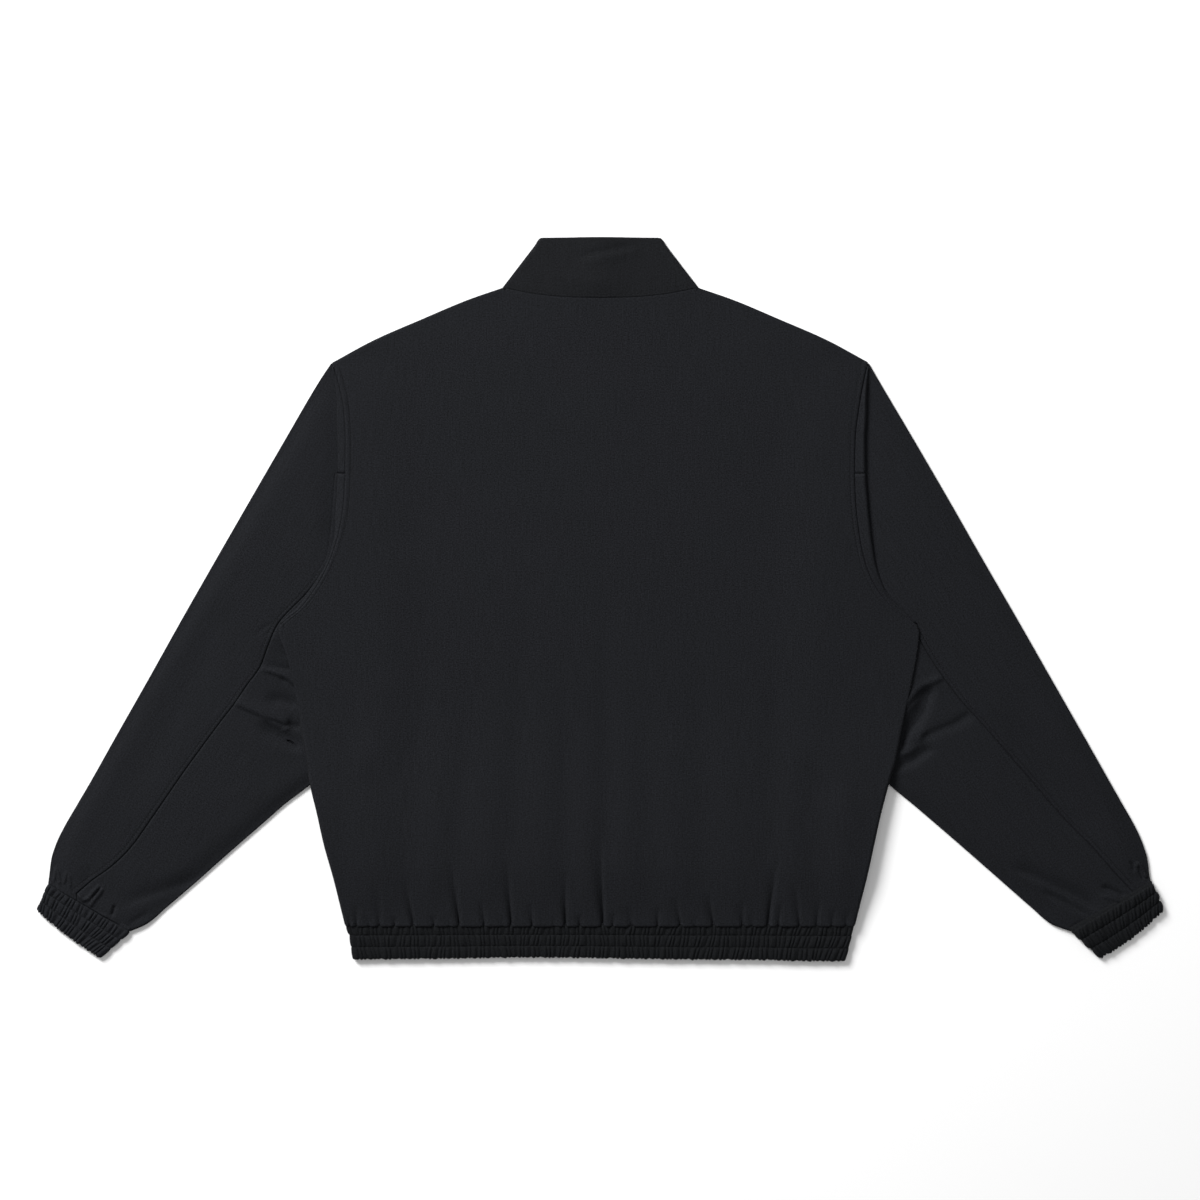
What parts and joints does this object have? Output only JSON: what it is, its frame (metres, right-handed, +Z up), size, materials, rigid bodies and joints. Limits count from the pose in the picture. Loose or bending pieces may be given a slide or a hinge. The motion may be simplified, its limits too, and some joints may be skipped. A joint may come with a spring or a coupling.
{
  "type": "bomber jacket",
  "caption": "Dark bomber jacket laid flat, back up: zipped stand collar, tucked set-in sleeves and channel-stitched elastic cuffs and waistband.",
  "frame": {"origin": "centre of the jacket's outline on the surface it lies on", "axes": "+X across the chest towards the picture's right, +Y from hem to collar, +Z up out of the back"},
  "size_m": [1.1262, 0.7244, 0.0075],
  "materials": {
    "shell_cloth": "matte fine twill, near black",
    "gathered_trim": "matte fine twill, gathered on elastic",
    "zip_tape": "matte woven tape",
    "zip_metal": "dark satin metal"
  },
  "bodies": {
    "jacket": {"back": "shell_cloth", "front_left": "shell_cloth", "front_right": "shell_cloth", "sleeve_outer_left": "shell_cloth", "sleeve_outer_right": "shell_cloth", "sleeve_under_left": "shell_cloth", "sleeve_under_right": "shell_cloth", "collar": "gathered_trim", "waistband": "gathered_trim", "cuff_left": "gathered_trim", "cuff_right": "gathered_trim", "zip_tape_left": "zip_tape", "zip_tape_right": "zip_tape", "zip_chain": "zip_metal", "zip_box": "zip_metal", "zip_slider": "zip_metal"},
    "pull_tab": {"zip_pull": "zip_metal"}
  },
  "joints": [
    {"name": "pull_swing", "type": "hinge", "parent": "jacket", "child": "pull_tab", "pos_m": [0, 0.3542, 0.00135], "axis": [1, 0, 0], "range_deg": [0, 170]}
  ]
}
